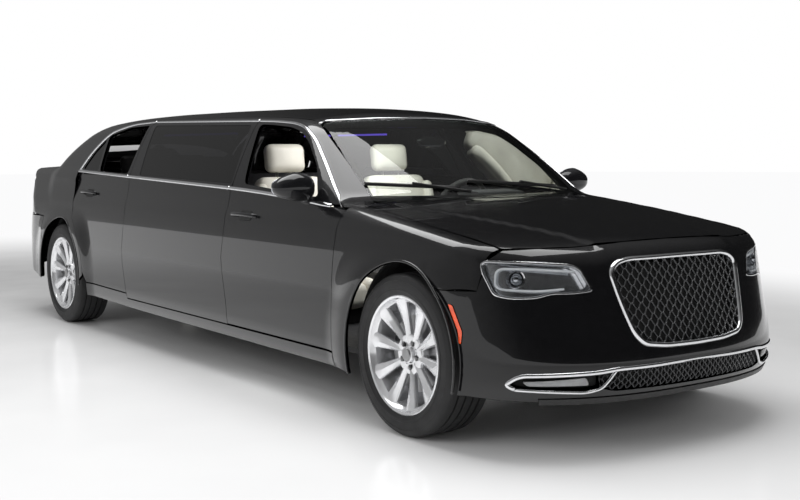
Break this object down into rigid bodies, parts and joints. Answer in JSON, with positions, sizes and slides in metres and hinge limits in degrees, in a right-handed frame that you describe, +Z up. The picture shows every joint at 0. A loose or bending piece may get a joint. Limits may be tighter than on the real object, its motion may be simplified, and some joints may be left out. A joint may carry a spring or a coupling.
{
  "type": "stretch limousine",
  "caption": "Long-wheelbase stretch limousine with opening doors, hood and trunk lid, steered front wheels, rolling wheels and a fitted cabin.",
  "frame": {"origin": "centre of the footprint, on the ground", "axes": "+X forwards along the car, +Y to its left, +Z up"},
  "size_m": [6.2954, 2.12, 1.525],
  "materials": {
    "paint": "gloss black paint with clear coat",
    "underbody": "dark coated metal",
    "liner": "matte black liner",
    "exhaust_steel": "stainless steel",
    "bright_trim": "bright plated",
    "black_plastic": "satin black moulding",
    "lamp_clear": "clear lamp lens",
    "lamp_red": "red lamp lens",
    "clear_glass": "clear glass with a slight green tint",
    "dark_glass": "dark tinted glass",
    "dash": "soft black moulding",
    "gloss_black": "gloss black lacquer",
    "cream_leather": "cream leather",
    "black_leather": "black leather",
    "tyre": "black rubber tyre",
    "bright_wheel": "bright plated wheel"
  },
  "bodies": {
    "body": {"floor_pan": "underbody", "sills": "paint", "front_fenders": "paint", "center_panels": "paint", "quarter_panels": "paint", "roof_rails": "paint", "roof_panel": "paint", "front_bumper": "paint", "rear_bumper": "paint", "grille": "bright_trim", "lower_grille": "black_plastic", "cowl": "paint", "rear_deck": "paint", "headlamps": "lamp_clear", "tail_lamps": "lamp_red", "windshield": "clear_glass", "rear_window": "dark_glass", "center_windows": "dark_glass", "dashboard": "dash", "left_front_seat": "cream_leather", "right_front_seat": "cream_leather", "partition": "dash", "bar_cabinet": "gloss_black", "side_bench": "black_leather", "rear_bench": "black_leather", "engine_block": "underbody", "exhaust": "exhaust_steel", "fuel_tank": "underbody", "front_subframe": "underbody", "rear_axle": "underbody", "wheel_housings": "liner"},
    "hood": {"hood": "paint"},
    "trunk_lid": {"trunk_lid": "paint", "plate_bracket": "bright_trim"},
    "left_front_door": {"left_front_door": "paint", "left_front_glass": "dark_glass", "left_mirror": "paint"},
    "right_front_door": {"right_front_door": "paint", "right_mirror": "paint"},
    "left_rear_door": {"left_rear_door": "paint", "left_rear_glass": "dark_glass"},
    "right_rear_door": {"right_rear_door": "paint"},
    "steering_wheel": {"steering_wheel": "dash"},
    "left_knuckle": {"left_knuckle": "underbody"},
    "right_knuckle": {"right_knuckle": "underbody"},
    "front_left_wheel": {"front_left_tyre": "tyre", "front_left_rim": "bright_wheel"},
    "front_right_wheel": {"front_right_tyre": "tyre", "front_right_rim": "bright_wheel"},
    "rear_left_wheel": {"rear_left_tyre": "tyre", "rear_left_rim": "bright_wheel"},
    "rear_right_wheel": {"rear_right_tyre": "tyre", "rear_right_rim": "bright_wheel"}
  },
  "joints": [
    {"name": "left_front_door_hinge", "type": "hinge", "parent": "body", "child": "left_front_door", "pos_m": [1.735, 0.916, 0.65], "axis": [0, 0, -1], "range_deg": [0, 67]},
    {"name": "right_front_door_hinge", "type": "hinge", "parent": "body", "child": "right_front_door", "pos_m": [1.735, -0.916, 0.65], "axis": [0, 0, 1], "range_deg": [0, 67]},
    {"name": "left_rear_door_hinge", "type": "hinge", "parent": "body", "child": "left_rear_door", "pos_m": [-0.872, 0.916, 0.7], "axis": [0, 0, -1], "range_deg": [0, 67]},
    {"name": "right_rear_door_hinge", "type": "hinge", "parent": "body", "child": "right_rear_door", "pos_m": [-0.872, -0.916, 0.7], "axis": [0, 0, 1], "range_deg": [0, 67]},
    {"name": "hood_hinge", "type": "hinge", "parent": "body", "child": "hood", "pos_m": [1.752, 0, 1.004], "axis": [0, -1, 0], "range_deg": [0, 55]},
    {"name": "trunk_hinge", "type": "hinge", "parent": "body", "child": "trunk_lid", "pos_m": [-2.563, 0, 1.146], "axis": [0, 1, 0], "range_deg": [0, 85]},
    {"name": "steer_left", "type": "hinge", "parent": "body", "child": "left_knuckle", "pos_m": [2.27, 0.745, 0.364], "axis": [0, 0, 1], "range_deg": [-35, 35]},
    {"name": "steer_right", "type": "hinge", "parent": "body", "child": "right_knuckle", "pos_m": [2.27, -0.745, 0.364], "axis": [0, 0, 1], "range_deg": [-35, 35]},
    {"name": "steering_wheel_turn", "type": "hinge", "parent": "body", "child": "steering_wheel", "pos_m": [1.05, 0.38, 0.925], "axis": [-0.9063, 0, 0.4226], "range_deg": [-560, 560]},
    {"name": "front_left_spin", "type": "hinge", "parent": "left_knuckle", "child": "front_left_wheel", "pos_m": [2.27, 0.805, 0.364], "axis": [0, 1, 0], "continuous": true},
    {"name": "front_right_spin", "type": "hinge", "parent": "right_knuckle", "child": "front_right_wheel", "pos_m": [2.27, -0.805, 0.364], "axis": [0, 1, 0], "continuous": true},
    {"name": "rear_left_spin", "type": "hinge", "parent": "body", "child": "rear_left_wheel", "pos_m": [-2.04, 0.805, 0.364], "axis": [0, 1, 0], "continuous": true},
    {"name": "rear_right_spin", "type": "hinge", "parent": "body", "child": "rear_right_wheel", "pos_m": [-2.04, -0.805, 0.364], "axis": [0, 1, 0], "continuous": true}
  ],
  "couplings": [
    {"joint": "steer_right", "follows": "steer_left", "ratio": 1},
    {"joint": "steering_wheel_turn", "follows": "steer_left", "ratio": 16}
  ]
}
